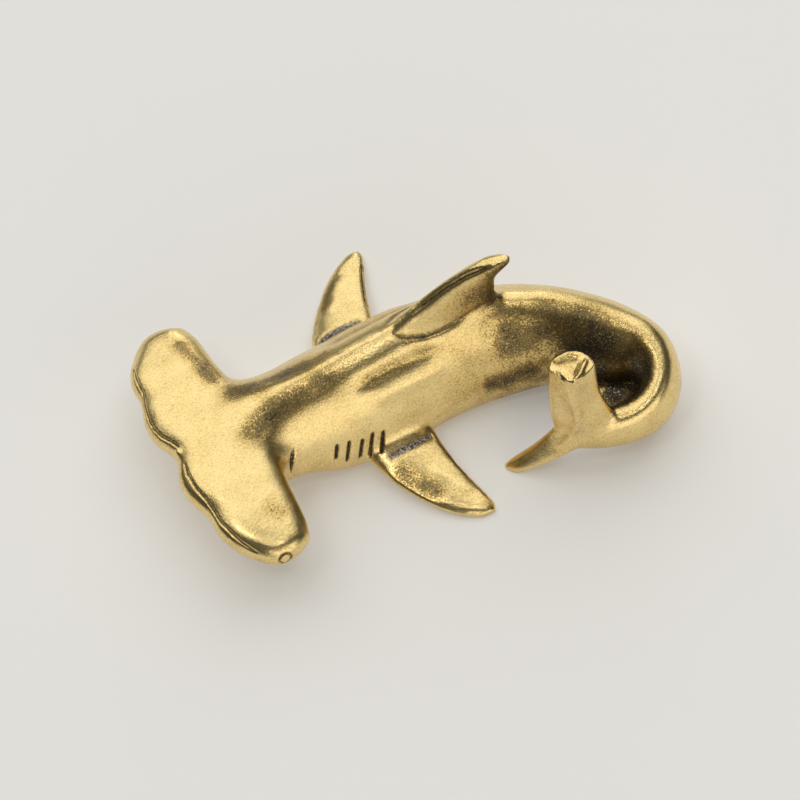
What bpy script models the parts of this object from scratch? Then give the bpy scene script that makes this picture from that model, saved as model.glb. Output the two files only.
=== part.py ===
"""A hammerhead shark figurine, cast in solid brass in one piece.

The shark faces -X with its left side towards -Y and lies on its belly. The
trunk is straight, and the tail curls round to the shark's left until the tail
fin points forward again. Sizes are in millimetres. A place is a distance along
the spine from where the tail starts to bend, and heights are taken from the
surface that the shark lies on. The origin is on the belly's flat.
"""

import math

import bmesh
import bpy
import numpy as np
from mathutils import Vector

MM = 0.001

# Trunk and tail. The tail is measured along its curled spine, from where it starts to bend.
TRUNK_LENGTH = 23.4
TAIL_LENGTH = 42.8
HALF_WIDTH = 6.3
RIDGE_HEIGHT = 13.0
BEND_START_X = 4.0

# Hammer. Its length is taken fore and aft, and its height at its mid thickness.
HAMMER_REACH = 15.4
HAMMER_LENGTH = 10.0
HAMMER_HEIGHT = 7.9
HAMMER_THICKNESS = 4.2
HAMMER_SQUARENESS = 2.5
HAMMER_BACK_TAPER = 0.3
BEAD_GROOVE_DEPTH = 0.14
EYE_RADIUS = 0.75
EYE_PROUD = 0.3
EYE_SHARE = 0.3

# Dorsal fin. Fins are sunk into the body at their roots, and a chord is a root's length.
DORSAL_PLACE = -3.2
DORSAL_CHORD = 15.1
DORSAL_SINK = 2.5
DORSAL_TIP_HEIGHT = 19.9
DORSAL_HALF_THICKNESS = 1.7

# Pectoral fins. The reach is a tip's distance from the middle plane.
PECTORAL_PLACE = -8.6
PECTORAL_CHORD = 9.2
PECTORAL_SINK = 2.8
PECTORAL_REACH = 17.7
PECTORAL_ROOT_HEIGHT = 2.8
PECTORAL_HALF_THICKNESS = 1.4
LEFT_PECTORAL_TIP_FORWARD = 2.3

# Tail fin. The root starts this far ahead of the tail's end.
TAIL_FIN_AHEAD = 6.3
TAIL_FIN_CHORD = 6.5
TAIL_FIN_HALF_THICKNESS = 1.6
UPPER_LOBE_ROOT_HEIGHT = 4.4
UPPER_LOBE_TIP_HEIGHT = 17.2
LOWER_LOBE_ROOT_HEIGHT = 6.5
LOWER_LOBE_TIP_DROP = 0.3
LOWER_LOBE_TIP_OUT = 0.6
TAIL_FIN_RIDGE = 0.7

# The web that closes the bottom of the curl, dished towards its middle.
WEB_RADIUS = 3.1
WEB_FLOOR = 0.8
WEB_DISH_HEIGHT = 2.2
WEB_RIM_HEIGHT = 5.0

# Gill slits, five to a side. A slit's lower end lies ahead of its upper end by its lean.
GILL_COUNT = 5
GILL_FRONT_PLACE = -10.1
GILL_PITCH = 1.32
GILL_RADIUS = 0.21
GILL_LEAN = 1.0

# The spine's bends from above: share of the tail's length, and turn to the left in degrees.
BENDS = ((0.446, 39.0), (0.140, 11.0), (0.257, 140.0), (0.140, 14.0))

# Half sections from ridge to keel, as shares of the half width and of the height.
GABLE = ((0, 1.0), (0.36, 0.89), (0.76, 0.63), (0.99, 0.36), (0.95, 0.10), (0.55, 0.0), (0, 0.0))
OVAL = ((0, 1.0), (0.52, 0.94), (0.88, 0.76), (1.0, 0.50), (0.88, 0.24), (0.52, 0.06), (0, 0.0))

# Body profile: place as a share of the trunk or the tail, half width, ridge and keel as shares
# of the driving sizes, and share of the oval section.
BODY = (
    (-1.0, 0.57, 0.68, 0.51, 0.5),
    (-0.90, 0.95, 0.765, 0.43, 0.3),
    (-0.80, 1.22, 0.84, 0.36, 0.2),
    (-0.71, 1.04, 0.89, 0.28, 0.0),
    (-0.59, 0.93, 0.91, 0.16, 0.0),
    (-0.44, 1.02, 0.92, 0.04, 0.0),
    (-0.27, 1.06, 0.94, -0.03, 0.0),
    (0.0, 1.03, 0.985, -0.04, 0.0),
    (0.14, 0.95, 1.0, -0.02, 0.0),
    (0.27, 0.86, 0.99, 0.01, 0.1),
    (0.40, 0.73, 0.94, 0.05, 0.3),
    (0.53, 0.60, 0.85, 0.09, 0.5),
    (0.63, 0.43, 0.77, 0.15, 0.7),
    (0.72, 0.33, 0.67, 0.15, 0.8),
    (0.84, 0.29, 0.56, 0.15, 0.9),
    (0.96, 0.26, 0.53, 0.20, 1.0),
    (1.0, 0.22, 0.50, 0.25, 1.0),
)

# Hammer outline: share of the reach, front and back as shares of the length behind the nose,
# and mid height and thickness as shares of the driving sizes.
HAMMER = (
    (0.0, -0.18, 0.74, 1.0, 1.0),
    (0.06, -0.22, 0.74, 1.0, 1.0),
    (0.15, -0.29, 0.73, 1.0, 1.0),
    (0.28, -0.315, 0.72, 1.0, 1.0),
    (0.42, -0.27, 0.70, 0.99, 0.98),
    (0.52, -0.21, 0.68, 0.96, 0.95),
    (0.62, -0.22, 0.67, 0.94, 0.93),
    (0.76, -0.16, 0.66, 0.89, 0.88),
    (0.88, -0.03, 0.63, 0.84, 0.82),
    (0.96, 0.09, 0.56, 0.81, 0.67),
    (1.0, 0.18, 0.42, 0.80, 0.38),
)

# The bead's groove along the hammer's front: its place across the section, and its width there.
BEAD_GROOVE_SHARE = -0.80
BEAD_GROOVE_WIDTH = 0.06

# Fin outlines: share of the span from root to tip, leading and trailing edge as shares of the
# chord, lift as a share of the fin's lift, and half thickness as a share of the root's.
DORSAL = (
    (0.0, 0.0, 1.0, 0, 1.0),
    (0.20, 0.17, 0.98, 0, 0.91),
    (0.48, 0.46, 0.96, 0, 0.74),
    (0.69, 0.64, 0.98, 0, 0.65),
    (0.86, 0.80, 1.05, 0, 0.59),
    (0.96, 0.92, 1.09, 0, 0.47),
    (1.0, 1.01, 1.08, 0, 0.24),
)
PECTORAL = (
    (0.0, 0.0, 1.0, 1.0, 1.0),
    (0.28, 0.22, 1.03, 0.84, 0.86),
    (0.49, 0.38, 1.11, 0.63, 0.71),
    (0.70, 0.62, 1.23, 0.41, 0.61),
    (0.85, 0.84, 1.33, 0.25, 0.54),
    (0.95, 1.04, 1.38, 0.16, 0.46),
    (1.0, 1.19, 1.37, 0.09, 0.32),
)
UPPER_LOBE = (
    (0.0, 0.0, 1.1, 0, 1.0),
    (0.24, 0.20, 1.20, 0, 1.06),
    (0.48, 0.33, 1.21, 0, 1.10),
    (1.0, 0.40, 1.13, 0, 1.28),
)
LOWER_LOBE = (
    (0.0, 0.15, 1.1, 0.0, 0.94),
    (0.31, 0.48, 1.33, 0.4, 1.0),
    (0.60, 0.94, 1.64, 0.8, 0.90),
    (0.84, 1.43, 1.96, 1.0, 0.72),
    (1.0, 1.78, 2.08, 1.0, 0.5),
)

# The gill slits' ends, as shares of the way down the flank, how much lower each slit reaches than
# the one ahead of it, and how much they swell between their ends.
GILL_TOP_SHARE = 0.40
GILL_BOTTOM_SHARE = 0.51
GILL_BOTTOM_DROP = 0.015
GILL_SWELL = 1.2

# How finely the lofts are drawn.
BODY_STEP = 1.05
HALF_RING = 16
HAMMER_STEPS = 44
HAMMER_RING = 28
HAMMER_END_CROWDING = 0.7
FIN_STEPS = 13
FIN_RING = 20
FIN_TIP_CROWDING = 1.5
WEB_SIDES = 20
WEB_STEPS = 5
GILL_STEPS = 7
GILL_SIDES = 6

# The slab that files the underside flat is wider than the casting and deeper than its fin tips.
FLOOR_WIDTH = 4 * TAIL_LENGTH
FLOOR_DEPTH = RIDGE_HEIGHT

BRASS_COLOUR = (0.72, 0.52, 0.22, 1.0)
BRASS_ROUGHNESS = 0.35


def read(table, place):
    """Read a table's row at one place, on a smooth curve through its rows."""
    rows = np.array(table, dtype=float)
    places = rows[:, 0]
    slopes = np.gradient(rows, places, axis=0)
    low = int(np.clip(np.searchsorted(places, place) - 1, 0, len(places) - 2))
    gap = places[low + 1] - places[low]
    t = (place - places[low]) / gap
    start = (2 * t - 3) * t * t + 1
    leaving = ((t - 2) * t + 1) * t * gap
    arriving = (t - 1) * t * t * gap
    row = start * rows[low] + (1 - start) * rows[low + 1]
    return (row + leaving * slopes[low] + arriving * slopes[low + 1])[1:]


def spine_point(place, left, height):
    """Return a point beside or above the spine, in metres."""
    x, y, heading = BEND_START_X, 0.0, 0.0
    remaining = place
    if place > 0:
        for share, turn in BENDS:
            length = share * TAIL_LENGTH
            run = min(remaining, length)
            rate = math.radians(turn) / length
            after = heading - rate * run
            x += (math.sin(heading) - math.sin(after)) / rate
            y += (math.cos(after) - math.cos(heading)) / rate
            heading = after
            remaining -= run
    x += remaining * math.cos(heading) + left * math.sin(heading)
    y += remaining * math.sin(heading) - left * math.cos(heading)
    return Vector((x, y, height)) * MM


def straight_point(place, left, height):
    """Return a point beside the trunk's straight part, carried on past its end, in metres."""
    return Vector((BEND_START_X + place, -left, height)) * MM


def flank_point(place, share, side):
    """Return a point on the body's skin: share is 0 at the ridge and 1 at the keel."""
    length = TRUNK_LENGTH if place < 0 else TAIL_LENGTH
    width, top, bottom, oval = read(BODY, place / length)
    step = share * (len(GABLE) - 1)
    gable_row = read([(i, *row) for i, row in enumerate(GABLE)], step)
    oval_row = read([(i, *row) for i, row in enumerate(OVAL)], step)
    out, up = gable_row + oval * (oval_row - gable_row)
    height = (bottom + up * (top - bottom)) * RIDGE_HEIGHT
    return spine_point(place, side * out * width * HALF_WIDTH, height)


def new_object(name, bm):
    """Make a mesh object from a bmesh."""
    bmesh.ops.recalc_face_normals(bm, faces=bm.faces)
    mesh = bpy.data.meshes.new(name)
    bm.to_mesh(mesh)
    bm.free()
    item = bpy.data.objects.new(name, mesh)
    bpy.context.collection.objects.link(item)
    return item


def add_loft(bm, rings):
    """Bridge rings of points in turn and close both ends."""
    loops = []
    for ring in rings:
        verts = [bm.verts.new(point) for point in ring]
        loops.append([bm.edges.new(pair) for pair in zip(verts, verts[1:] + verts[:1])])
    for first, second in zip(loops, loops[1:]):
        bmesh.ops.bridge_loops(bm, edges=first + second)
    for end in (loops[0], loops[-1]):
        bmesh.ops.contextual_create(bm, geom=end)


def body():
    """Loft the trunk and tail along the spine."""
    steps = round((TRUNK_LENGTH + TAIL_LENGTH) / BODY_STEP)
    shares = np.linspace(0, 1, HALF_RING)
    rings = []
    for place in np.linspace(-TRUNK_LENGTH, TAIL_LENGTH, steps + 1):
        left = [flank_point(place, share, 1) for share in shares]
        right = [flank_point(place, share, -1) for share in shares[-2:0:-1]]
        rings.append(left + right)
    bm = bmesh.new()
    add_loft(bm, rings)
    return new_object("shark_casting", bm)


def squared(value):
    """Push a circle's sine or cosine out towards a square."""
    return math.copysign(abs(value) ** (2 / HAMMER_SQUARENESS), value)


def hammer_section(share):
    """Return the hammer's front and back place, mid height and thickness at a share of its reach."""
    front, back, height, thickness = read(HAMMER, abs(share))
    places = [-TRUNK_LENGTH + edge * HAMMER_LENGTH for edge in (front, back)]
    return *places, height * HAMMER_HEIGHT, thickness * HAMMER_THICKNESS


def hammer_ring(share):
    """Return one fore-and-aft section of the hammer, with its beaded front edge."""
    front, back, middle, thickness = hammer_section(share)
    points = []
    for angle in np.linspace(0, 2 * math.pi, HAMMER_RING, endpoint=False):
        along, up = squared(math.cos(angle)), squared(math.sin(angle))
        half = thickness / 2 * (1 - HAMMER_BACK_TAPER * max(along, 0) ** 2)
        if up > 0:
            off = (along - BEAD_GROOVE_SHARE) / BEAD_GROOVE_WIDTH
            half -= BEAD_GROOVE_DEPTH * math.exp(-off * off)
        place = (front + back) / 2 + along * (back - front) / 2
        points.append(spine_point(place, share * HAMMER_REACH, middle + half * up))
    return points


def hammer():
    """Loft the hammer from end to end, with closer sections towards the ends."""
    bm = bmesh.new()
    rings = []
    for step in np.linspace(-1, 1, HAMMER_STEPS):
        crowded = math.sin(step * math.pi / 2)
        rings.append(hammer_ring(step + HAMMER_END_CROWDING * (crowded - step)))
    add_loft(bm, rings)
    return new_object("hammer", bm)


def fin(name, shape, to_point, root, tip, place, chord, half, lift=0.0, ridge=0.0):
    """Loft a fin from its sunk root to its tip. A ridge draws its right face out to a V."""
    rings = []
    for step in np.linspace(0, 1, FIN_STEPS):
        share = 1 - (1 - step) ** FIN_TIP_CROWDING
        lead, trail, raised, thick = read(shape, share)
        ring = []
        for angle in np.linspace(0, 2 * math.pi, FIN_RING, endpoint=False):
            along = (lead + trail) / 2 + math.cos(angle) * (trail - lead) / 2
            bulge = math.sin(angle)
            if bulge < 0:
                bulge += ridge * (-1 + abs(math.cos(angle)) - bulge)
            out = raised * lift + bulge * thick * half
            ring.append(to_point(place + along * chord, root + share * (tip - root), out))
        rings.append(ring)
    bm = bmesh.new()
    add_loft(bm, rings)
    return new_object(name, bm)


def upright_point(place, height, out):
    """Return a point in a fin that stands on the spine."""
    return spine_point(place, out, height)


def dorsal_fin():
    """Loft the fin on the back."""
    return fin(
        "dorsal_fin", DORSAL, upright_point, root=RIDGE_HEIGHT - DORSAL_SINK, tip=DORSAL_TIP_HEIGHT,
        place=DORSAL_PLACE, chord=DORSAL_CHORD, half=DORSAL_HALF_THICKNESS)


def tail_lobes():
    """Loft the tail fin's upper and lower lobes, which share a root at the tail's end."""
    shared = {"place": TAIL_LENGTH - TAIL_FIN_AHEAD, "chord": TAIL_FIN_CHORD,
              "half": TAIL_FIN_HALF_THICKNESS, "ridge": TAIL_FIN_RIDGE}
    upper = fin(
        "upper_lobe", UPPER_LOBE, upright_point, root=UPPER_LOBE_ROOT_HEIGHT,
        tip=UPPER_LOBE_TIP_HEIGHT, **shared)
    lower = fin(
        "lower_lobe", LOWER_LOBE, upright_point, root=LOWER_LOBE_ROOT_HEIGHT,
        tip=-LOWER_LOBE_TIP_DROP, lift=-LOWER_LOBE_TIP_OUT, **shared)
    return [upper, lower]


def pectoral_fin(name, side, tip_forward):
    """Loft one of the fins on the flanks, swung forward by a length at its tip."""
    root = HALF_WIDTH - PECTORAL_SINK
    swing = tip_forward / (PECTORAL_REACH - root)

    def outward(place, reach, height):
        return straight_point(place - swing * (reach - root), side * reach, height)

    return fin(
        name, PECTORAL, outward, root=root, tip=PECTORAL_REACH,
        place=PECTORAL_PLACE, chord=PECTORAL_CHORD, half=PECTORAL_HALF_THICKNESS,
        lift=PECTORAL_ROOT_HEIGHT)


def curl_centre():
    """Return the point that the spine's tightest bend turns about, on the floor."""
    tightest = max(range(len(BENDS)), key=lambda index: BENDS[index][1] / BENDS[index][0])
    share, turn = BENDS[tightest]
    start = sum(bend[0] for bend in BENDS[:tightest])
    radius = share * TAIL_LENGTH / math.radians(turn)
    return spine_point((start + share / 2) * TAIL_LENGTH, radius, 0)


def curl_web():
    """Loft the dished web in the curl: highest where it meets the curl, flat on its open side."""
    centre = curl_centre()
    radii = np.linspace(WEB_RADIUS, 0, WEB_STEPS, endpoint=False)
    rings = []
    for radius, rising in [(WEB_RADIUS, False)] + [(radius, True) for radius in radii]:
        ring = []
        for turn in np.linspace(0, 2 * math.pi, WEB_SIDES, endpoint=False):
            x, y = radius * math.cos(turn), radius * math.sin(turn)
            rise = (radius / WEB_RADIUS) ** 2 * (1 + math.cos(turn)) / 2
            height = WEB_DISH_HEIGHT + (WEB_RIM_HEIGHT - WEB_DISH_HEIGHT) * rise
            ring.append(centre + Vector((x, y, height if rising else WEB_FLOOR)) * MM)
        rings.append(ring)
    bm = bmesh.new()
    add_loft(bm, rings)
    return new_object("curl_web", bm)


def gill_cutter():
    """Draw a spindle down the flank for each gill slit."""
    bm = bmesh.new()
    turns = np.linspace(0, 2 * math.pi, GILL_SIDES, endpoint=False)
    for side in (1, -1):
        for number in range(GILL_COUNT):
            place = GILL_FRONT_PLACE + number * GILL_PITCH
            bottom = GILL_BOTTOM_SHARE + number * GILL_BOTTOM_DROP
            rings = []
            for step in np.linspace(0, 1, GILL_STEPS):
                share = GILL_TOP_SHARE + step * (bottom - GILL_TOP_SHARE)
                centre = flank_point(place - step * GILL_LEAN, share, side)
                swell = (1 + GILL_SWELL * math.sin(math.pi * step)) / (1 + GILL_SWELL)
                radius = GILL_RADIUS * swell * MM
                rings.append([centre + radius * Vector((math.cos(a), math.sin(a), 0)) for a in turns])
            add_loft(bm, rings)
    return new_object("gill_cutter", bm)


def floor_cutter():
    """Make a slab under the resting surface, which files the belly and fin tips flat."""
    bm = bmesh.new()
    bmesh.ops.create_cube(bm, size=1.0)
    bmesh.ops.scale(bm, vec=Vector((FLOOR_WIDTH, FLOOR_WIDTH, FLOOR_DEPTH)) * MM, verts=bm.verts)
    bmesh.ops.translate(bm, vec=Vector((0, 0, -FLOOR_DEPTH / 2)) * MM, verts=bm.verts)
    return new_object("floor_cutter", bm)


def eye(name, side):
    """Make the small domed eye in a hammer end."""
    front, back, middle, _ = hammer_section(1.0)
    place = front + EYE_SHARE * (back - front)
    reach = HAMMER_REACH + EYE_PROUD - EYE_RADIUS
    bm = bmesh.new()
    bmesh.ops.create_icosphere(bm, subdivisions=2, radius=EYE_RADIUS * MM)
    bmesh.ops.translate(bm, vec=spine_point(place, side * reach, middle), verts=bm.verts)
    return new_object(name, bm)


def combine(target, other, operation):
    """Join a shape to the casting or cut it away, and hide the shape."""
    change = target.modifiers.new(other.name, "BOOLEAN")
    change.operation = operation
    change.solver = "EXACT"
    change.object = other
    other.hide_render = True
    other.display_type = "WIRE"


def brass():
    """Make the casting's bright brass."""
    material = bpy.data.materials.new("brass")
    material.use_nodes = True
    shader = material.node_tree.nodes["Principled BSDF"]
    shader.inputs["Base Color"].default_value = BRASS_COLOUR
    shader.inputs["Roughness"].default_value = BRASS_ROUGHNESS
    shader.inputs["Metallic"].default_value = 1.0
    return material


def build():
    """Build the casting."""
    for item in list(bpy.data.objects):
        bpy.data.objects.remove(item)
    casting = body()
    pieces = [hammer(), dorsal_fin(), curl_web(), *tail_lobes()]
    for name, side, tip_forward in (("left", 1, LEFT_PECTORAL_TIP_FORWARD), ("right", -1, 0.0)):
        pieces.append(pectoral_fin(f"{name}_pectoral_fin", side, tip_forward))
        pieces.append(eye(f"{name}_eye", side))
    for piece in pieces:
        combine(casting, piece, "UNION")
    combine(casting, gill_cutter(), "DIFFERENCE")
    combine(casting, floor_cutter(), "DIFFERENCE")
    casting.data.materials.append(brass())


build()
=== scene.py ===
# %% [markdown]
# A hammerhead shark, cast in solid brass in one piece and small enough for a pocket. The real one
# was cast from a carved master, tumbled, and darkened, and then its high places were rubbed bright
# again. The solid model gives its form. Here its skin is made fine enough to carve, the small
# grooves and hollows are cut into it, and the brass gets its grain and its dark patina.

# %% Load the solid model
import math

import bmesh
import bpy
import numpy as np
from mathutils import Matrix, Vector, noise
from mathutils.bvhtree import BVHTree


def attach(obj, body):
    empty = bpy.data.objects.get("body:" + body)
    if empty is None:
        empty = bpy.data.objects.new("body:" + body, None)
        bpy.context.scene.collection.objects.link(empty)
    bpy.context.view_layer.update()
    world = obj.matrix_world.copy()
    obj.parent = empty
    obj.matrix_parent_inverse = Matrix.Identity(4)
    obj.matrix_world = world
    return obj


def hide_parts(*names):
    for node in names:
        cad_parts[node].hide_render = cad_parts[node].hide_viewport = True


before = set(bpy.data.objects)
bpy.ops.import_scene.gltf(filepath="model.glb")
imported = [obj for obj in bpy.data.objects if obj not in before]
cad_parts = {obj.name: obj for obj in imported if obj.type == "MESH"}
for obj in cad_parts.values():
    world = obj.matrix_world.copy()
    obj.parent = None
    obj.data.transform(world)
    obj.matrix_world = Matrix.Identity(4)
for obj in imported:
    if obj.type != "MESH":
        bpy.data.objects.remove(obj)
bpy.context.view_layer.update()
MM = 0.001

# %% [markdown]
# The camera stands where the photograph's stood: left of the shark's nose, well above it and a
# little rolled. A long lens far away keeps the flat look of a close-up taken with one. One known
# spot, the front foot of the dorsal fin, fixes where the picture's middle falls.

# %% Place the camera
PICTURE_SIZE = 800
PIXELS_PER_MM = 9.8
CAMERA_AZIMUTH = -19.2
CAMERA_ELEVATION = 57.9
CAMERA_ROLL = math.radians(9.65)
CAMERA_DISTANCE = 700.0
SENSOR_WIDTH = 36.0
NEAREST_SEEN, FURTHEST_SEEN = 0.01, 30.0
DORSAL_FOOT = Vector((4.0, 0.0, 12.5))
DORSAL_FOOT_SEEN = (392, 328)


def way_to(azimuth, elevation):
    """Return the unit vector from the shark towards an azimuth and an elevation in degrees."""
    turn, rise = math.radians(azimuth), math.radians(elevation)
    return Vector((
        math.sin(turn) * math.cos(rise), -math.cos(turn) * math.cos(rise), math.sin(rise)))


def camera_axes():
    """Return the picture's right, its up and the way back to the camera, as unit vectors."""
    back = way_to(CAMERA_AZIMUTH, CAMERA_ELEVATION)
    turn = math.radians(CAMERA_AZIMUTH)
    level = Vector((math.cos(turn), math.sin(turn), 0.0))
    above = back.cross(level)
    right = level * math.cos(CAMERA_ROLL) - above * math.sin(CAMERA_ROLL)
    return right, back.cross(right), back


RIGHT, UP, BACK = camera_axes()
off_x = (DORSAL_FOOT_SEEN[0] - PICTURE_SIZE / 2) / PIXELS_PER_MM
off_y = (PICTURE_SIZE / 2 - DORSAL_FOOT_SEEN[1]) / PIXELS_PER_MM
EYE = DORSAL_FOOT - RIGHT * off_x - UP * off_y + BACK * CAMERA_DISTANCE

camera_data = bpy.data.cameras.new("camera")
camera_data.sensor_width = SENSOR_WIDTH
camera_data.lens = SENSOR_WIDTH * CAMERA_DISTANCE * PIXELS_PER_MM / PICTURE_SIZE
camera_data.clip_start, camera_data.clip_end = NEAREST_SEEN, FURTHEST_SEEN
camera = bpy.data.objects.new("camera", camera_data)
bpy.context.collection.objects.link(camera)
camera.matrix_world = Matrix.LocRotScale(EYE * MM, Matrix((RIGHT, UP, BACK)).transposed(), None)
bpy.context.scene.camera = camera
print("lens in mm:", round(camera_data.lens))

# %% [markdown]
# Polished metal is only as good as what it mirrors. One wide soft lamp hangs behind the shark,
# where its flat top mirrors it into the camera. A lower one in front lights the near flank from
# the side, and the sky stays a dim grey, so slopes that mirror neither read dark, as they do in a
# room. Three small lamps add sharp glints: on the ridge, on the back behind the dorsal fin and
# inside the curl of the tail.

# %% Set the lamps and the sky
SKY_GREY = (0.066, 0.069, 0.062, 1.0)
WARM_WHITE = (1.0, 0.96, 0.90)
SOFT_WHITE = (1.0, 0.985, 0.95)
CLEAR_WHITE = (1.0, 0.98, 0.95)
SMALL_LAMP_DISTANCE = 0.9


def linked(name, data):
    """Make an object from its data and put it in the scene."""
    item = bpy.data.objects.new(name, data)
    bpy.context.collection.objects.link(item)
    return item


def soft_lamp(name, azimuth, elevation, distance, size, brightness, colour):
    """Hang a soft lamp, of a width and a height in metres, that faces the shark."""
    away = way_to(azimuth, elevation)
    data = bpy.data.lights.new(name, "AREA")
    data.shape = "RECTANGLE"
    data.size, data.size_y = size
    data.energy = brightness * math.pi * size[0] * size[1]
    data.color = colour
    lamp = linked(name, data)
    lamp.location = away * distance
    lamp.rotation_mode = "QUATERNION"
    lamp.rotation_quaternion = away.to_track_quat("Z", "Y")


soft_lamp("top_lamp", 164, 56, 0.95, (1.9, 1.45), 1.15, SOFT_WHITE)
soft_lamp("front_lamp", 2, 20, SMALL_LAMP_DISTANCE, (1.2, 0.56), 1.2, WARM_WHITE)
soft_lamp("ridge_lamp", 8, 69, SMALL_LAMP_DISTANCE, (0.42, 0.14), 3.0, CLEAR_WHITE)
soft_lamp("back_lamp", 149, 11, SMALL_LAMP_DISTANCE, (0.26, 0.16), 2.6, CLEAR_WHITE)
soft_lamp("curl_lamp", -70, 67, SMALL_LAMP_DISTANCE, (0.20, 0.20), 4.5, (1.0, 0.98, 0.96))

world = bpy.data.worlds.new("sky")
bpy.context.scene.world = world
world.use_nodes = True
world.node_tree.nodes["Background"].inputs["Color"].default_value = SKY_GREY
bpy.context.scene.view_settings.view_transform = "Standard"

# %% [markdown]
# The floor is a wide sheet of pale matt paper. Dim light would leave it grey, and more light
# would burn out the brass. So it glows a little of its own, for the camera and in the brass
# alike, and it still takes the shark's shadow.

# %% Lay the floor
FLOOR_HALF_SIZE = 8.0
FLOOR_COLOUR = (0.80, 0.79, 0.77, 1.0)
FLOOR_GLOW = 0.20
PAPER_ROUGHNESS = 0.9
PAPER_GLOSS = 0.2

bm = bmesh.new()
bmesh.ops.create_grid(bm, x_segments=1, y_segments=1, size=FLOOR_HALF_SIZE)
floor_mesh = bpy.data.meshes.new("floor")
bm.to_mesh(floor_mesh)
bm.free()
floor = linked("floor", floor_mesh)
paper = bpy.data.materials.new("floor_paper")
paper.use_nodes = True
floor_mesh.materials.append(paper)


def nodes_of(material):
    """Return helpers that add a node to a material and link two sockets in it."""
    tree = material.node_tree

    def add(kind, **settings):
        made = tree.nodes.new(kind)
        for key, value in settings.items():
            if key in made.inputs:
                made.inputs[key].default_value = value
            else:
                setattr(made, key, value)
        return made

    return add, tree.links.new, tree.nodes["Principled BSDF"]


node, join, shader = nodes_of(paper)
shader.inputs["Base Color"].default_value = FLOOR_COLOUR
shader.inputs["Roughness"].default_value = PAPER_ROUGHNESS
shader.inputs["Specular IOR Level"].default_value = PAPER_GLOSS
shader.inputs["Emission Color"].default_value = FLOOR_COLOUR
ray = node("ShaderNodeLightPath")
either = node("ShaderNodeMath", operation="MAXIMUM")
join(ray.outputs["Is Camera Ray"], either.inputs[0])
join(ray.outputs["Is Glossy Ray"], either.inputs[1])
with_glass = node("ShaderNodeMath", operation="MAXIMUM")
join(either.outputs[0], with_glass.inputs[0])
join(ray.outputs["Is Transmission Ray"], with_glass.inputs[1])
glow = node("ShaderNodeMath", operation="MULTIPLY")
glow.inputs[1].default_value = FLOOR_GLOW
join(with_glass.outputs[0], glow.inputs[0])
join(glow.outputs[0], shader.inputs["Emission Strength"])
print("floor laid:", floor.name)

# %% [markdown]
# The solid is made of flat facets. Its copy is merged, rebuilt as one even skin of small squares
# by a voxel remesh, and smoothed. Squares half this size would need four times as many faces,
# so only the places that get fine work are split further, later on.

# %% Make the skin
SKIN_PITCH = 0.232
SMOOTH_ROUNDS = 5
SMOOTH_SHARE = 0.5
SAME_POINT = 1e-6
NEARLY_FLAT = 0.7

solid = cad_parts["shark_casting"]
bm = bmesh.new()
bm.from_mesh(solid.data)
bmesh.ops.remove_doubles(bm, verts=bm.verts, dist=SAME_POINT)
bmesh.ops.join_triangles(
    bm, faces=bm.faces, angle_face_threshold=NEARLY_FLAT, angle_shape_threshold=NEARLY_FLAT)
rough_mesh = bpy.data.meshes.new("rough_skin")
bm.to_mesh(rough_mesh)
bm.free()
shark = linked("brass_shark", rough_mesh)
finer = shark.modifiers.new("finer", "SUBSURF")
finer.levels = finer.render_levels = 1
remesh = shark.modifiers.new("even_skin", "REMESH")
remesh.mode = "VOXEL"
remesh.voxel_size = SKIN_PITCH * MM
shark.update_tag()
evaluated = shark.evaluated_get(bpy.context.evaluated_depsgraph_get())
skin = bpy.data.meshes.new_from_object(evaluated)
shark.modifiers.clear()
shark.data = skin
skin.name = "brass_shark"


def smooth_skin(bm, rounds):
    """Smooth a bmesh evenly, a number of times."""
    for _ in range(rounds):
        bmesh.ops.smooth_vert(
            bm, verts=bm.verts, factor=SMOOTH_SHARE,
            use_axis_x=True, use_axis_y=True, use_axis_z=True)


bm = bmesh.new()
bm.from_mesh(skin)
smooth_skin(bm, SMOOTH_ROUNDS)
print("skin:", len(bm.verts), "points")

# %% [markdown]
# That wears the fins' thin edges back by a fifth of a millimetre. Each point that now lies well
# inside the solid is moved out along its normal, nearly as far as the solid's surface.

# %% Put the thin edges back
LOSS_LEFT = 0.06
LOSS_FOUND = 0.5
SAME_WAY = 0.3
solid_surface = BVHTree.FromObject(solid, bpy.context.evaluated_depsgraph_get())
put_back = 0
for vert in bm.verts:
    _, facing, _, gap = solid_surface.ray_cast(vert.co, vert.normal, LOSS_FOUND * MM)
    if gap is not None and gap > LOSS_LEFT * MM and facing.dot(vert.normal) > SAME_WAY:
        vert.co += vert.normal * (gap - LOSS_LEFT * MM)
        put_back += 1
smooth_skin(bm, 1)
print("points put back:", put_back)

# %% [markdown]
# Places on the skin are given where the photograph shows them, because that is where they can be
# measured. A ray from the camera through a spot of the picture finds its place on the skin, and
# the shark's far side gets the mirror image.

# %% Find places on the skin
surface = BVHTree.FromBMesh(bm)


def seen(spot):
    """Return the place on the skin, in millimetres, and its normal, at a spot of the picture."""
    across = (spot[0] - PICTURE_SIZE / 2) / PIXELS_PER_MM
    up = (PICTURE_SIZE / 2 - spot[1]) / PIXELS_PER_MM
    target = EYE - BACK * CAMERA_DISTANCE + RIGHT * across + UP * up
    place, normal, _, _ = surface.ray_cast(EYE * MM, (target - EYE).normalized())
    return (None, None) if place is None else (place / MM, normal)


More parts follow.
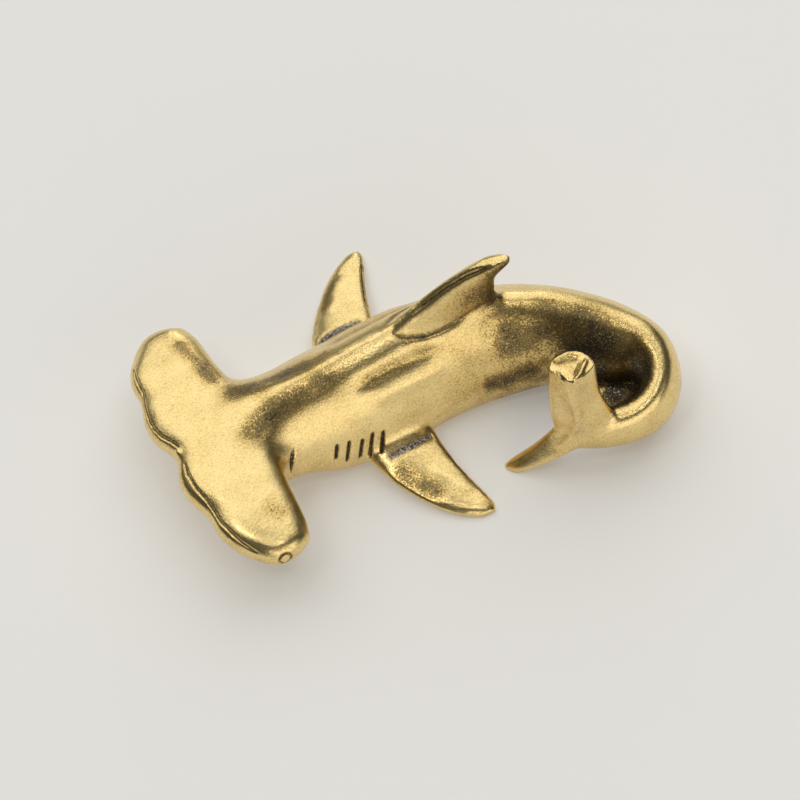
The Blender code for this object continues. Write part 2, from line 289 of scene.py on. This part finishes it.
def line_on_skin(spots, spacing=0.1):
    """Return points on the skin, and their normals, along a line through spots of the picture.

    The points are a tenth of a millimetre apart. Spots beside the shark are left out.
    """
    places = []
    missed = 0
    for start, end in zip(spots, spots[1:]):
        length = math.dist(start, end) / PIXELS_PER_MM
        for step in np.linspace(0, 1, max(2, round(length / spacing))):
            place, normal = seen([a + step * (b - a) for a, b in zip(start, end)])
            if place is None:
                missed += 1
            else:
                places.append((place, normal))
    if missed:
        print("line from", spots[0], "missed the skin", missed, "times of", missed + len(places))
    return places


def nearest(place):
    """Return the place on the skin nearest to a point in millimetres, and its normal."""
    found, normal, _, _ = surface.find_nearest(Vector(place) * MM)
    return found / MM, normal


def mirrored(line):
    """Return a line's mirror image on the shark's other side."""
    return [nearest((place.x, -place.y, place.z)) for place, _ in line]


def both_sides(spots):
    """Return a line through spots of the picture, and its mirror image."""
    line = line_on_skin(spots)
    return line, mirrored(line)


print("ready to look for places")

# %% [markdown]
# Where the fine work goes, as it is seen in the photograph. The gill slits stand in a row ahead of
# the pectoral fin. The bead runs along the hammer's front edge, on both sides of the middle notch.
# The eyes are on the hammer's ends, and the rims and creases on the fins. The tail fin's upper
# end is a small face with a rim, a pinched bead on its left and a folded one on its right.

# %% List the fine work
GILL_SLITS = (
    ((337.5, 443.5), (336.0, 461.0)),
    ((350.0, 439.5), (347.0, 463.0)),
    ((363.0, 438.0), (360.3, 459.0)),
    ((373.5, 431.0), (369.6, 458.5)),
    ((384.0, 429.5), (381.0, 455.5)),
)
NECK_CREASE = ((294.5, 446.0), (292.0, 460.0), (291.5, 475.0))
BEAD_GROOVES = (
    ((132.5, 364.0), (136.0, 379.0), (142.7, 393.0), (145.0, 408.0), (149.5, 422.0), (154.0, 430.0),
     (162.0, 437.5), (173.7, 443.5), (181.0, 450.0)),
    ((183.5, 460.0), (187.5, 474.0), (196.0, 488.0), (206.4, 500.0), (213.3, 510.5), (220.2, 521.8),
     (230.5, 532.1), (240.9, 541.6), (251.2, 549.4), (262.0, 555.0)),
)
KNOB = (178.0, 452.5)
EYE_SPOT = (286.0, 560.0)
EYE_RING_RADIUS = 0.72
RING_STEPS = 40
DORSAL_EDGE = (
    (398.0, 323.0), (412.0, 309.0), (430.0, 293.5), (450.0, 279.5), (470.0, 268.5), (488.0, 262.5))
DORSAL_LINE = (
    (408.0, 317.5), (421.0, 306.0), (443.0, 289.5), (465.0, 276.5), (482.0, 269.5), (495.0, 264.5))
DORSAL_CREASE = (
    (386.0, 332.0), (406.0, 338.0), (425.0, 336.5), (441.7, 330.0), (456.0, 322.0), (469.4, 313.0),
    (481.7, 305.5), (495.0, 300.0))
FAR_FIN_LINE = ((361.5, 262.0), (362.4, 279.0), (364.4, 297.0), (368.5, 312.0))
PECTORAL_CREASE = (
    (386.0, 458.5), (396.7, 453.0), (410.0, 446.5), (422.0, 440.5), (432.0, 436.0), (438.0, 434.0))
PECTORAL_EDGE = ((381.0, 466.5), (397.0, 481.5), (420.0, 496.5), (444.0, 507.5))
FACET = ((556.0, 359.0), (568.0, 368.0), (582.0, 358.0), (566.0, 382.0))
fine_lines = [*GILL_SLITS, NECK_CREASE, *BEAD_GROOVES, DORSAL_LINE, DORSAL_CREASE, PECTORAL_CREASE]
print("fine lines:", len(fine_lines))

# %% [markdown]
# Splitting only the faces near those lines keeps the shark light. The operator cuts each edge in
# two and fills the squares with a grid.

# %% Split the skin there
FINE_REACH = 0.45
FACET_REACH = 2.1
EYE_REACH = 1.2

fine_work = [
    (point, FINE_REACH) for spots in fine_lines for line in both_sides(spots) for point, _ in line]
fine_work += [(point, FINE_REACH) for point, _ in line_on_skin(FAR_FIN_LINE)]
fine_work += [(seen(spot)[0], FACET_REACH) for spot in FACET]
fine_work += [(point, EYE_REACH) for line in both_sides((EYE_SPOT, EYE_SPOT)) for point, _ in line]
fine_work += [(seen(KNOB)[0], EYE_REACH)]
middles = np.array([point for point, _ in fine_work])
reaches = np.array([reach for _, reach in fine_work])
chosen = set()
for face in bm.faces:
    gaps = np.linalg.norm(middles - np.array(face.calc_center_median() / MM), axis=1)
    if (gaps < reaches).any():
        chosen.update(face.edges)
bmesh.ops.subdivide_edges(bm, edges=list(chosen), cuts=1, use_grid_fill=True)
smooth_skin(bm, 1)
bmesh.ops.recalc_face_normals(bm, faces=bm.faces)
surface = BVHTree.FromBMesh(bm)
bm.to_mesh(skin)
bm.free()
count = len(skin.vertices)
print("skin:", count, "points,", sum(len(face.vertices) - 2 for face in skin.polygons), "triangles")

# %% [markdown]
# Wax is worked with a warm tool, so every inside corner of a casting is filled a little. Rounds of
# smoothing that only ever fill, and never shave, put that fillet where the fins and the hammer
# leave the body. The pectoral fins' roots and the neck, where the body's ridge fans out into the
# hammer, get wider ones. In the neck and on the tail's back the smoothing goes both ways too.

# %% Fill the inside corners
FILLET_ROUNDS = 32
ROOT_FILLET_ROUNDS = 220
NECK_FILLET_ROUNDS = 240
NECK_SOFT_ROUNDS = 110
BACK_SOFT_ROUNDS = 45
PULL_SHARE = 0.5
PECTORAL_ROOT, ROOT_SIZE = (-0.5, 7.4, 4.4), (6.0, 2.6, 2.6)
NECK, NECK_SIZE = (-13.8, 0.0, 9.5), (6.0, 7.5, 5.5)
NECK_SIDE, SIDE_SIZE = (-11.7, 4.6, 6.8), (4.5, 3.6, 5.0)
TAIL_BACK, BACK_SIZE = (17.0, -0.5, 13.0), (9.0, 3.5, 2.6)


def read_points():
    """Return the skin's points, in millimetres, and its normals."""
    places = np.empty(count * 3)
    skin.vertices.foreach_get("co", places)
    ways = np.empty(count * 3)
    skin.vertices.foreach_get("normal", ways)
    return places.reshape(-1, 3) / MM, ways.reshape(-1, 3)


def write_points():
    """Give the points back to the skin, and read its new normals."""
    skin.vertices.foreach_set("co", (points * MM).ravel())
    skin.update()
    return read_points()


ends = np.empty(len(skin.edges) * 2, dtype=int)
skin.edges.foreach_get("vertices", ends)
first_end, second_end = ends.reshape(-1, 2).T
neighbours = np.bincount(ends, minlength=count)[:, None]


def average_of_neighbours(values):
    """Return, for each point, the mean of a value over the points that edges join to it."""
    total = np.zeros_like(values)
    for axis in range(values.shape[1]):
        total[:, axis] = np.bincount(first_end, values[second_end, axis], count)
        total[:, axis] += np.bincount(second_end, values[first_end, axis], count)
    return total / neighbours


def ease(share):
    """Clip a share to 0 and 1, and let it start and stop gently."""
    share = np.clip(share, 0, 1)
    return share * share * (3 - 2 * share)


def along(first, second):
    """Return the dot products of two rows of vectors."""
    return np.einsum("ij,ij->i", first, second)


def around(centre, size):
    """Return how near each point is to a centre, from 1 there to 0 at the edge of an oval."""
    off = (points - np.array(centre)) / np.array(size)
    return ease(1 - along(off, off))


def relax(rounds, share, filling):
    """Smooth the points by a share each, and if filling is set, only outwards."""
    global points, normals
    for _ in range(rounds):
        pull = average_of_neighbours(points) - points
        if filling:
            pull = normals * np.maximum(along(pull, normals), 0)[:, None]
        points += pull * (PULL_SHARE * share)[:, None]
    points, normals = write_points()


def around_both(centre, size):
    """Return how near each point is to a centre or to its mirror image."""
    forward, left, height = centre
    return around((forward, -left, height), size) + around(centre, size)


points, normals = read_points()
before = points.copy()
relax(FILLET_ROUNDS, np.ones(count), filling=True)
relax(ROOT_FILLET_ROUNDS, around_both(PECTORAL_ROOT, ROOT_SIZE), filling=True)
neck = around(NECK, NECK_SIZE)
neck_sides = around_both(NECK_SIDE, SIDE_SIZE)
relax(NECK_FILLET_ROUNDS, np.clip(neck + neck_sides, 0, 1), filling=True)
relax(NECK_SOFT_ROUNDS, neck, filling=False)
relax(BACK_SOFT_ROUNDS, around(TAIL_BACK, BACK_SIZE), filling=False)
print("largest fill in mm:", round(float(np.linalg.norm(points - before, axis=1).max()), 2))

# %% [markdown]
# Carving wax leaves soft waves in a surface, and polished metal shows them at once, because they
# bend everything it mirrors. Two sizes of smooth noise, a few hundredths of a millimetre high,
# are enough.

# %% Add the carver's waves
WAVES = ((0.30, 0.055), (1.0, 0.013))
for pitch, height in WAVES:
    swell = np.array([noise.noise(Vector(point) * pitch) for point in points])
    points += normals * (height * swell)[:, None]
points, normals = write_points()


def skin_surface():
    """Return a tree of the skin's faces as they are now, for rays and nearest points."""
    return BVHTree.FromPolygons(
        [Vector(point) * MM for point in points], [tuple(face.vertices) for face in skin.polygons])


surface = skin_surface()
print("waves:", len(WAVES))

# %% [markdown]
# Carving works like a knife drawn over wax. A cut follows a line on the skin and pushes the
# points near it in, or out, less and less with distance, and it can darken them: with patina in
# hollows, and with painted shade on some slopes.

# %% Make the carving tool
WIDTHS_LOOKED_AT = 3
STRAIGHT_UP = np.array((0.0, 0.0, 1.0))
# The darkening that the cuts leave: patina, and painted shade where a slope turns from the light.
patina_and_shade = np.zeros(count)
grit = np.zeros(count)


def reach_of(line, width, taper):
    """Return the points near a line, and how strongly a cut along it reaches each one."""
    centres = np.array([place for place, _ in line])
    facing = np.array([normal for _, normal in line])
    margin = WIDTHS_LOOKED_AT * width
    low, high = centres.min(0) - margin, centres.max(0) + margin
    near = np.where(((points > low) & (points < high)).all(1))[0]
    gaps = np.linalg.norm(points[near, None, :] - centres[None, :, :], axis=2)
    closest = gaps.argmin(1)
    share = np.exp(-(gaps.min(1) / width) ** 2)
    share *= np.clip(along(normals[near], facing[closest]) * 2, 0, 1)
    if taper:
        part = closest / max(len(line) - 1, 1)
        share *= ease(np.minimum(part, 1 - part) / taper)
    return near, share


def cut(line, width, depth, darkening=0.0, taper=0.0, straight=False):
    """Push the skin in along a line, by a depth that fades over a width, and darken it.

    The push follows each point's own normal or, if it is straight, goes straight down. A depth
    below zero raises a bead, and a depth of zero only darkens, as patina or as painted shade.
    """
    near, share = reach_of(line, width, taper)
    way = STRAIGHT_UP if straight else normals[near]
    points[near] -= way * (depth * share)[:, None]
    patina_and_shade[near] = np.maximum(patina_and_shade[near], darkening * share)


print("ready to carve:", count, "points")

# %% [markdown]
# Broad hollows give the body its muscles: a valley on each side of the ridge behind the head,
# darkened with painted shade, a long shallow furrow on the flank with a soft fold below it, and a
# dip and a low ridge along each pectoral fin. The slope beyond the ridge, and its mirror image,
# get only painted shade, no cut. They have no edges, so each is one wide, shallow cut with long
# tapers.

# %% Press the hollows
RIDGE_VALLEY = (
    (236.0, 452.0), (246.0, 437.0), (262.0, 424.0), (284.0, 408.0), (312.0, 388.0), (345.0, 366.0))
FAR_SLOPE = (
    (222.0, 388.0), (240.0, 394.0), (262.0, 388.0), (290.0, 372.0), (320.0, 355.0), (345.0, 343.0))
FLANK_FURROW = ((346.0, 394.0), (370.0, 380.0), (388.4, 370.0), (419.0, 356.5), (452.0, 346.0))
FLANK_FOLD = ((368.0, 402.0), (400.0, 388.0), (428.0, 375.0), (450.0, 366.0))
PECTORAL_DIP = ((390.0, 463.0), (401.0, 471.0), (415.0, 480.0), (432.0, 489.0), (450.0, 498.0))
PECTORAL_RIDGE = ((428.0, 467.0), (446.0, 475.5), (464.0, 486.0), (476.0, 494.0))
for spots, width, depth, darkening in (
    # The ridge valley's stain and the far slope's are painted shade, a dark olive.
    (RIDGE_VALLEY, 1.3, 0.12, 0.56),
    (FAR_SLOPE, 0.9, 0.0, 0.44),
    (FLANK_FURROW, 0.8, 0.26, 0.34),
    (FLANK_FOLD, 0.9, -0.16, 0.0),
    (PECTORAL_DIP, 1.0, 0.10, 0.0),
    (PECTORAL_RIDGE, 0.7, -0.12, 0.0),
):
    for line in both_sides(spots):
        cut(line, width, depth, darkening, taper=0.25)
print("hollows pressed")

# %% [markdown]
# Some slopes that turn away from the light get painted shade, a thin olive colour: the hammer's
# rear edge, the front of each pectoral fin and a strip along the near one's back edge. They are
# only darkened, not cut.

# %% Shade the slopes
FAR_HAMMER_SHADE = ((166.0, 338.0), (184.0, 347.0), (199.0, 362.0), (211.0, 378.0), (222.0, 389.0))
NEAR_HAMMER_SHADE = ((262.0, 498.0), (275.0, 508.0), (288.0, 518.0))
FAR_FIN_SHADE = ((322.0, 316.0), (326.0, 301.0), (331.0, 288.0), (337.0, 273.0))
PECTORAL_BACK = ((441.0, 448.0), (450.0, 457.0), (460.0, 467.0), (470.0, 478.0))
for spots, width, darkening in (
    # Each of these is painted shade on a slope that turns from the light.
    (PECTORAL_DIP, 1.0, 0.46),
    (PECTORAL_BACK, 0.5, 0.28),
    (FAR_FIN_SHADE, 0.6, 0.42),
    (FAR_HAMMER_SHADE, 1.0, 0.46),
    (NEAR_HAMMER_SHADE, 1.1, 0.28),
):
    cut(line_on_skin(spots), width, 0.0, darkening, taper=0.2)
print("slopes shaded")

# %% [markdown]
# The gill slits are narrow, dark and sharp, and so is the crease where the hammer's back edge
# meets the neck.

# %% Cut the gill slits
for spots in GILL_SLITS:
    for line in both_sides(spots):
        cut(line, width=0.15, depth=0.30, darkening=1.8, taper=0.18)
for line in both_sides(NECK_CREASE):
    cut(line, width=0.2, depth=0.25, darkening=1.5, taper=0.4)
print("gill slits:", 2 * len(GILL_SLITS))

# %% [markdown]
# A thin groove sets off the bead along the hammer's front edge, and a small knob closes the bead
# at the middle notch. The eyes are ringed by a groove as if pressed with a fine tube.

# %% Cut the bead, the knob and the eyes
for spots in BEAD_GROOVES:
    cut(line_on_skin(spots), width=0.13, depth=0.13, darkening=0.7, taper=0.1)
cut([seen(KNOB)], width=0.38, depth=-0.2)
eye_place, eye_normal = seen(EYE_SPOT)
ring_start = eye_normal.orthogonal().normalized()
ring_side = eye_normal.cross(ring_start)
ring = []
for turn in np.linspace(0, 2 * math.pi, RING_STEPS):
    spoke = ring_start * math.cos(turn) + ring_side * math.sin(turn)
    ring.append(nearest(eye_place + EYE_RING_RADIUS * spoke))
for line in (ring, mirrored(ring)):
    cut(line, width=0.14, depth=0.15, darkening=0.8)
print("bead grooves:", len(BEAD_GROOVES), "and 2 eyes")

# %% [markdown]
# Fins. Each has a thin rolled rim with a fine line inside it, left by the tool that thinned the
# blade. The roots are pitted and dark, where no polishing mop reaches.

# %% Line the fins and their roots
ROOT_GRIT = 1.3
cut(line_on_skin(DORSAL_EDGE), width=0.35, depth=-0.10, taper=0.2)
cut(line_on_skin(DORSAL_LINE), width=0.20, depth=0.18, darkening=0.8, taper=0.2)
cut(line_on_skin(FAR_FIN_LINE), width=0.16, depth=0.16, darkening=0.9, taper=0.25)
for line in both_sides(DORSAL_CREASE):
    cut(line, width=0.32, depth=0.12, darkening=0.62, taper=0.15)
for line in both_sides(PECTORAL_EDGE):
    cut(line, width=0.3, depth=-0.10, taper=0.2)
for line in both_sides(PECTORAL_CREASE):
    cut(line, width=0.42, depth=0.12, darkening=0.85, taper=0.12)
    near, share = reach_of(line, width=0.42, taper=0.12)
    grit[near] = np.maximum(grit[near], ROOT_GRIT * share)
print("fins lined")

# %% [markdown]
# The tail fin's upper end was pinched while the wax was soft. Its face is a low button inside a
# thin rim, with a shallow band cut round its top and darkened with painted shade, and a bead is
# folded over on each side. A soft ridge runs from there down between the two lobes, with a hollow
# on each side. The face is level, so its cuts go straight down.

# %% Shape the tail fin's end
FACET_RIM = (
    (552.0, 368.0), (552.0, 361.0), (556.0, 355.5), (564.0, 352.5), (575.0, 352.0), (586.0, 354.0))
FACET_BAND = ((555.5, 366.0), (557.0, 361.0), (563.0, 358.2), (572.0, 357.2), (580.0, 358.5))
FACET_BUTTON = ((564.0, 370.0), (567.0, 374.0))
LEFT_BEAD = ((552.5, 371.0), (556.0, 376.5), (561.0, 382.0), (566.0, 386.0))
LEFT_LINE = ((556.5, 370.0), (559.0, 375.0), (564.0, 380.0), (567.0, 382.5))
FOLD_BEAD = (
    (589.0, 358.5), (585.5, 362.0), (583.0, 367.5), (580.5, 374.0), (576.0, 380.0), (571.0, 385.0))
FOLD_LINE = ((583.0, 358.5), (579.5, 363.0), (578.0, 368.0), (576.0, 373.5), (572.0, 378.5))
LOBE_RIDGE = (
    (567.5, 390.0), (572.5, 402.0), (577.0, 414.0), (578.0, 424.0), (570.0, 437.0), (556.0, 450.0))
LEFT_HOLLOW = ((560.0, 394.0), (562.0, 408.0), (562.0, 421.0))
RIGHT_HOLLOW = ((580.0, 386.0), (586.0, 400.0), (590.0, 413.0), (590.0, 424.0))
for spots, width, depth, darkening, taper in (
    (FACET_RIM, 0.26, -0.12, 0.0, 0.1),
    # The band round the face's top is darkened with painted shade.
    (FACET_BAND, 0.38, 0.20, 0.34, 0.15),
    (FACET_BUTTON, 0.75, -0.16, 0.0, 0.0),
    (LEFT_BEAD, 0.26, -0.18, 0.0, 0.15),
    (LEFT_LINE, 0.16, 0.16, 0.55, 0.2),
    (FOLD_BEAD, 0.26, -0.26, 0.0, 0.15),
    (FOLD_LINE, 0.17, 0.16, 0.42, 0.25),
):
    cut(line_on_skin(spots), width, depth, darkening, taper, straight=True)
cut(line_on_skin(LOBE_RIDGE), width=0.42, depth=-0.34, taper=0.2)
for spots in (LEFT_HOLLOW, RIGHT_HOLLOW):
    cut(line_on_skin(spots), width=0.7, depth=0.2, taper=0.3)
skin.polygons.foreach_set("use_smooth", [True] * len(skin.polygons))
points, normals = write_points()
surface = skin_surface()
print("carving done")

# %% [markdown]
# Patina. The dark finish stays where a polishing cloth doesn't reach. For each point of the skin,
# rays find how much of the sky above it the shark itself hides. The random directions come from
# a fixed seed, so every run gives the same result.

# %% Work out how sheltered each point is
SHELTER_RAYS = 16
SHELTER_REACH = 9.0
SHELTER_SPREAD = 0.95
SHELTER_LIFT = 0.2
SHELTER_SEED = 7
rng = np.random.default_rng(SHELTER_SEED)
spread = rng.normal(size=(SHELTER_RAYS, 3))
spread *= SHELTER_SPREAD / np.linalg.norm(spread, axis=1)[:, None]
shelter = np.zeros(count)
for index, (point, normal) in enumerate(zip(points, normals)):
    start = Vector(point + normal * SHELTER_LIFT) * MM
    for way in normal + spread:
        if surface.ray_cast(start, Vector(way).normalized(), SHELTER_REACH * MM)[0] is not None:
            shelter[index] += 1 / SHELTER_RAYS
print("mean shelter:", round(float(shelter.mean()), 3))

# %% [markdown]
# The darkest place is the wall inside the curl of the tail, and the flank and the web next to it.
# Three wide stains cover the flank, its lower edge and the web; the one on the lower edge is
# painted shade. The wall is found by its distance from the curl's middle, and by facing it. The
# patina with the painted shade, and the fins' grit, are kept as attributes, numbers at each point
# that the material can read.

# %% Darken the sheltered places
DARK_FLANK = ((482.0, 340.0), (510.0, 338.0), (545.0, 334.0), (585.0, 332.0), (620.0, 345.0))
# Painted shade on the flank's lower side, next to the curl.
PAINTED_SHADE_BELLY = ((478.0, 388.0), (500.0, 383.0), (522.0, 375.0), (544.0, 364.0))
DARK_WEB = ((604.0, 386.0), (616.0, 394.0), (628.0, 388.0))
CURL_CENTRE = np.array((20.5, -11.5))
CURL_RADIUS = 16.5
CURL_FADE = 8.0
CURL_FACING = 1.5
CURL_STAIN = 0.62
SHELTER_START = 0.12
SHELTER_STAIN = 0.4
MOST_PATINA_AND_SHADE = 1.7
READS_DARK = 0.5
for spots, width, darkening in (
    (DARK_FLANK, 2.9, 0.56),
    # This stain is painted shade.
    (PAINTED_SHADE_BELLY, 1.5, 0.66),
    (DARK_WEB, 1.7, 0.95),
):
    cut(line_on_skin(spots), width, 0.0, darkening, taper=0.15)
to_centre = CURL_CENTRE - points[:, :2]
distance = np.linalg.norm(to_centre, axis=1)
inward = along(to_centre / distance[:, None], normals[:, :2])
curl = np.clip((CURL_RADIUS - distance) / CURL_FADE, 0, 1) * np.clip(inward * CURL_FACING, 0, 1)
hidden = np.clip(shelter - SHELTER_START, 0, 1)
total_patina_and_shade = np.maximum(patina_and_shade, hidden * SHELTER_STAIN + curl * CURL_STAIN)


def keep_attribute(name, values):
    """Store a number for each point of the skin."""
    layer = skin.attributes.new(name, "FLOAT", "POINT")
    layer.data.foreach_set("value", np.asarray(values, dtype=np.float32))


keep_attribute("patina_and_shade", np.clip(total_patina_and_shade, 0, MOST_PATINA_AND_SHADE))
keep_attribute("grit", np.clip(grit, 0, 1))
print("dark points:", int((total_patina_and_shade > READS_DARK).sum()))

# %% [markdown]
# Brass. The metal is a warm yellow that gets its brightness from what it mirrors. A fine grain
# from the mould breaks up every reflection, and the patina, and the painted shade with it, fills
# the pits of that grain first, so it reads as dark specks that grow denser until they join. The
# tops of the coarsest grains are rubbed bright even there. In the fins' roots, grey points of
# bare metal show between the pits.

# %% Make the brass
BRIGHT_BRASS = (0.90, 0.70, 0.32, 1.0)
# Patina colours, which the painted shade uses too.
DULLED_AND_SHADED_BRASS = (0.62, 0.43, 0.15, 1.0)
PATINA_AND_SHADE_BROWN = (0.25, 0.180, 0.070, 1.0)
PATINA_AND_SHADE_BLACK = (0.040, 0.032, 0.020, 1.0)
ROOT_GREY = (0.45, 0.41, 0.36, 1.0)
GRAIN_SCALE = 5200.0
CLOUD_SCALE = 380.0
PIT_SCALE = 6000.0

brass = bpy.data.materials.new("cast_brass")
brass.use_nodes = True
node, join, shader = nodes_of(brass)


def arithmetic(operation, first, second):
    """Add a maths node whose inputs are sockets or numbers."""
    made = node("ShaderNodeMath", operation=operation)
    for socket, value in zip(made.inputs, (first, second)):
        if isinstance(value, (int, float)):
            socket.default_value = value
        else:
            join(value, socket)
    return made.outputs[0]


def ramp(source, low, high, start=0.0, end=1.0):
    """Stretch a range of values smoothly to another range."""
    made = node("ShaderNodeMapRange", interpolation_type="SMOOTHSTEP")
    for name, value in (("From Min", low), ("From Max", high), ("To Min", start), ("To Max", end)):
        made.inputs[name].default_value = value
    join(source, made.inputs["Value"])
    return made.outputs["Result"]


def blend(share, first, second):
    """Mix two colours, each a colour or a socket."""
    made = node("ShaderNodeMix", data_type="RGBA")
    join(share, made.inputs["Factor"])
    for socket, value in ((made.inputs[6], first), (made.inputs[7], second)):
        if isinstance(value, tuple):
            socket.default_value = value
        else:
            join(value, socket)
    return made.outputs[2]


def texture(scale, detail, roughness=0.6):
    """Add a noise on the object's own coordinates, centred on 0."""
    made = node("ShaderNodeTexNoise", Scale=scale, Detail=detail, Roughness=roughness)
    join(place.outputs["Object"], made.inputs["Vector"])
    return arithmetic("SUBTRACT", made.outputs["Fac"], 0.5)


place = node("ShaderNodeTexCoord")
patina_and_shade_in = node("ShaderNodeAttribute", attribute_name="patina_and_shade").outputs["Fac"]
pitted = node("ShaderNodeAttribute", attribute_name="grit").outputs["Fac"]
grain = texture(GRAIN_SCALE, 3.0)
clouds = texture(CLOUD_SCALE, 4.0)
pits = texture(PIT_SCALE, 1.0)
print("textures:", GRAIN_SCALE, CLOUD_SCALE, PIT_SCALE)

# %% [markdown]
# One number drives the colour: the patina with the painted shade, raised and lowered by the grain
# and by soft clouds that are stronger where it is dark. As it rises, the brass goes from bright to
# dull, then to olive brown and to black. The black is also less metallic, and it and the brown are
# rougher than bare brass.

# %% Colour the brass
GRAIN_IN_COLOUR = 1.05
CLOUDS_IN_COLOUR = 0.45
RUBBED_SHARE = 0.75
BLACK_METALLIC = 0.5
BRIGHT_ROUGHNESS, BROWN_ROUGHNESS = 0.25, 0.36
# The level is patina and painted shade together.
level = arithmetic("ADD", patina_and_shade_in, arithmetic("MULTIPLY", grain, GRAIN_IN_COLOUR))
mottling = arithmetic("ADD", patina_and_shade_in, CLOUDS_IN_COLOUR)
level = arithmetic("ADD", level, arithmetic("MULTIPLY", clouds, mottling))
dulled = ramp(level, -0.16, 0.34)
brown = ramp(level, 0.20, 0.46)
black = ramp(level, 0.46, 0.80)
colour = blend(dulled, BRIGHT_BRASS, DULLED_AND_SHADED_BRASS)
colour = blend(brown, colour, PATINA_AND_SHADE_BROWN)
colour = blend(black, colour, PATINA_AND_SHADE_BLACK)
rubbed = ramp(pits, 0.12, 0.20)
colour = blend(arithmetic("MULTIPLY", rubbed, RUBBED_SHARE), colour, BRIGHT_BRASS)
bare = arithmetic("MULTIPLY", pitted, ramp(pits, 0.01, 0.07))
colour = blend(bare, colour, ROOT_GREY)
join(colour, shader.inputs["Base Color"])
unrubbed = arithmetic("SUBTRACT", black, rubbed)
join(ramp(unrubbed, 0.0, 1.0, 1.0, BLACK_METALLIC), shader.inputs["Metallic"])
join(ramp(brown, 0.0, 1.0, BRIGHT_ROUGHNESS, BROWN_ROUGHNESS), shader.inputs["Roughness"])
print("brass coloured")

# %% [markdown]
# The grain also bends the reflections a little, and more in the fins' pitted roots. It is three
# hundredths of a millimetre deep, too fine for the mesh, so a bump node does it.

# %% Roughen the brass
GRAIN_DEPTH = 0.03 * MM
GRAIN_STRENGTH = 0.7
ROOT_ROUGHENING = 2.5
depth = arithmetic("ADD", arithmetic("MULTIPLY", pitted, ROOT_ROUGHENING), 1.0)
bump = node("ShaderNodeBump", Strength=GRAIN_STRENGTH, Distance=GRAIN_DEPTH)
join(arithmetic("MULTIPLY", grain, depth), bump.inputs["Height"])
join(bump.outputs["Normal"], shader.inputs["Normal"])
skin.materials.clear()
skin.materials.append(brass)
print("materials:", [material.name for material in skin.materials])

# %% [markdown]
# The finished skin stands for the solid, which stays hidden behind it.

# %% Put the shark in the frame
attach(shark, "root")
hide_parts("shark_casting")
